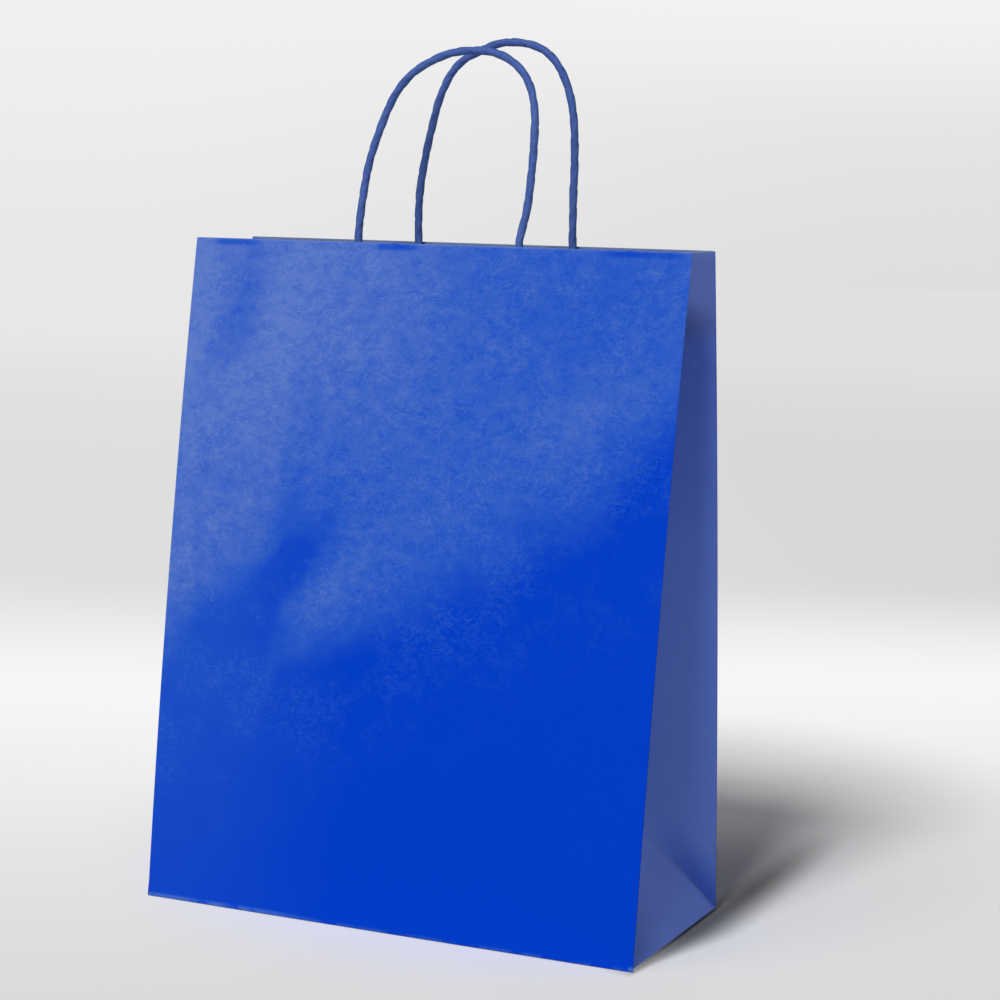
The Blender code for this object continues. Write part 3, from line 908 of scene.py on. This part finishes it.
WHITE, BLACK = (1.0, 1.0, 1.0), (0.0, 0.0, 0.0)
FLOOR_SPAN, FLOOR_DROP = 60.0, 0.0002
FLOOR_LIGHT, FLOOR_TONE = 0.74, 0.690
FLOOR_PALENESS = (0.72, 0.72, 0.72)
VIEW_SIDE = math.radians(23.7)
CONTACT_SHADE, SHADOW_CORE = 0.76, 0.45
SHADOW_CENTRE, SHADOW_REACH = (0.02, 0.19), (0.21, 0.27)


def across_view(x, y):
    """How far a place lies to the right, as the photograph looks at it."""
    return x * math.cos(VIEW_SIDE) + y * math.sin(VIEW_SIDE)


def floor_tone(x, y):
    """How pale the floor looks where no shade falls on it: brighter behind, then dimmer again."""
    behind = y * math.cos(VIEW_SIDE) - x * math.sin(VIEW_SIDE)
    aside = across_view(x, y)
    depth = behind - aside.ramp(-0.25, 0.30) * 0.12
    brighter = depth.ramp(-0.30, 0.56) * 0.235
    dimmer = depth.ramp(0.47, 1.10) * (aside.ramp(0.0, 0.5) * 0.05 + 0.195)
    return FLOOR_TONE + brighter - dimmer + depth.ramp(1.2, 8.0) * 0.07


def contact_shade(x, y):
    """The deep shade on the floor close to the right gusset, and in the shadow behind the bag."""
    spread = y.ramp(-0.062, 0.035) * 0.024 + 0.003
    contact = ((x - 0.119) / spread).ramp(1.0, 0.15) * y.ramp(0.27, 0.09) * y.ramp(-0.064, -0.052)
    core = x.ramp(0.02, 0.10) * y.ramp(0.03, 0.07) * SHADOW_CORE
    return contact * x.ramp(0.102, 0.125).most(core) * CONTACT_SHADE


def add_floor():
    """Near the bag the floor takes light and shadow, and further off it shows its plain tone."""
    mesh = bpy.data.meshes.new("studio_floor")
    s = FLOOR_SPAN
    mesh.from_pydata([(-s, -s, 0), (s, -s, 0), (s, s, 0), (-s, s, 0)], [], [(0, 1, 2, 3)])
    floor = bpy.data.objects.new("studio_floor", mesh)
    floor.location.z = -FLOOR_DROP
    bpy.context.scene.collection.objects.link(floor)

    finish = Finish("pale_floor", 0.9, specular=0.0)
    split = finish.split(finish.place())
    x, y = split.part("X"), split.part("Y")
    tone = floor_tone(x, y)
    seen = finish.node("ShaderNodeLightPath", output="Is Camera Ray")
    lit = (tone / FLOOR_LIGHT * (1 - contact_shade(x, y))).ramp_line(0.0, 1.0)
    finish.paint("Base Color", finish.blend(seen, FLOOR_PALENESS, finish.blend(lit, BLACK, WHITE)))
    along = (x - SHADOW_CENTRE[0]) / SHADOW_REACH[0]
    over = (y - SHADOW_CENTRE[1]) / SHADOW_REACH[1]
    far_off = ((along * along + over * over) ** 0.5).ramp(0.80, 1.30)
    plain = finish.node("ShaderNodeEmission", None, {"Color": finish.blend(tone, BLACK, WHITE)})
    surface = Tone(finish, finish.shader.outputs[0])
    mixed = finish.node("ShaderNodeMixShader", None, {0: far_off * seen, 1: surface, 2: plain})
    finish.links.new(mixed.socket, finish.nodes["Material Output"].inputs["Surface"])
    mesh.materials.append(finish.material)


def add_sun(name, azimuth, elevation, strength, softness):
    """A broad soft light. Azimuth runs from the front round to the right, all in degrees."""
    light = bpy.data.lights.new(name, "SUN")
    light.energy = strength
    light.angle = math.radians(softness)
    lamp = bpy.data.objects.new(name, light)
    a, e = math.radians(azimuth), math.radians(elevation)
    toward = Vector((math.sin(a) * math.cos(e), -math.cos(a) * math.cos(e), math.sin(e)))
    lamp.rotation_mode = "QUATERNION"
    lamp.rotation_quaternion = toward.to_track_quat("Z", "Y")
    lamp.location = toward * 2
    bpy.context.scene.collection.objects.link(lamp)


class Air(Finish):
    """The studio's air: an even light on the object, and a backdrop to look at."""

    def __init__(self, name):
        self.world = bpy.data.worlds.new(name)
        self.world.use_nodes = True
        self.nodes, self.links = self.world.node_tree.nodes, self.world.node_tree.links
        bpy.context.scene.world = self.world


def add_air(fill_strength):
    air = Air("studio_air")
    direction = air.split(air.node("ShaderNodeTexCoord", output="Generated"))
    height = direction.part("Z")
    aside = across_view(direction.part("X"), direction.part("Y")).ramp(-0.2, 0.2)
    tone = height.ramp(-0.02, 0.11, 0.80, 0.87) - aside * height.ramp(0.12, 0.05) * 0.07
    tone = tone + aside * height.ramp(0.07, 0.12) * 0.02
    backdrop = air.node("ShaderNodeBackground", None, {"Color": air.blend(tone, BLACK, WHITE)})
    fill = air.node("ShaderNodeBackground", None, {"Color": (*WHITE, 1.0), "Strength": fill_strength})
    seen = air.node("ShaderNodeLightPath", output="Is Camera Ray")
    mixed = air.node("ShaderNodeMixShader", None, {0: seen, 1: fill, 2: backdrop})
    air.links.new(mixed.socket, air.nodes["World Output"].inputs["Surface"])


add_floor()
add_sun("key_light", -3.5, 43.7, 2.36, 18.0)
add_sun("left_light", -40.0, 38.0, 0.42, 40.0)
add_sun("side_light", 75.0, 13.0, 0.26, 40.0)
add_sun("back_light", 200.0, 10.0, 0.45, 50.0)
add_air(0.10)


# The camera. It stands a metre away, to the right of the front and just below the level of the
# mouth, and it is tilted by nearly two degrees.

AZIMUTH, ELEVATION, ROLL = math.radians(23.671), math.radians(5.788), math.radians(1.742)
DISTANCE, ASIDE, AIM_HEIGHT = 1.05394, 0.02569, 0.18900
LENS, SENSOR = 83.12, 36.0


def add_camera():
    lens = bpy.data.cameras.new("camera")
    lens.lens, lens.sensor_width = LENS, SENSOR
    lens.clip_start, lens.clip_end = 0.05, 100.0
    camera = bpy.data.objects.new("camera", lens)
    right = Vector((math.cos(AZIMUTH), math.sin(AZIMUTH), 0))
    level_back = Vector((math.sin(AZIMUTH), -math.cos(AZIMUTH), 0))
    back = level_back * math.cos(ELEVATION) + Vector((0, 0, math.sin(ELEVATION)))
    up = back.cross(right)
    tilted_right = right * math.cos(ROLL) + up * math.sin(ROLL)
    tilted_up = up * math.cos(ROLL) - right * math.sin(ROLL)
    turn = Matrix((tilted_right, tilted_up, back)).transposed().to_4x4()
    place = back * DISTANCE + right * ASIDE + Vector((0, 0, AIM_HEIGHT))
    camera.matrix_world = Matrix.Translation(place) @ turn
    bpy.context.scene.collection.objects.link(camera)
    bpy.context.scene.camera = camera


add_camera()
bpy.context.scene.view_settings.view_transform = "Standard"
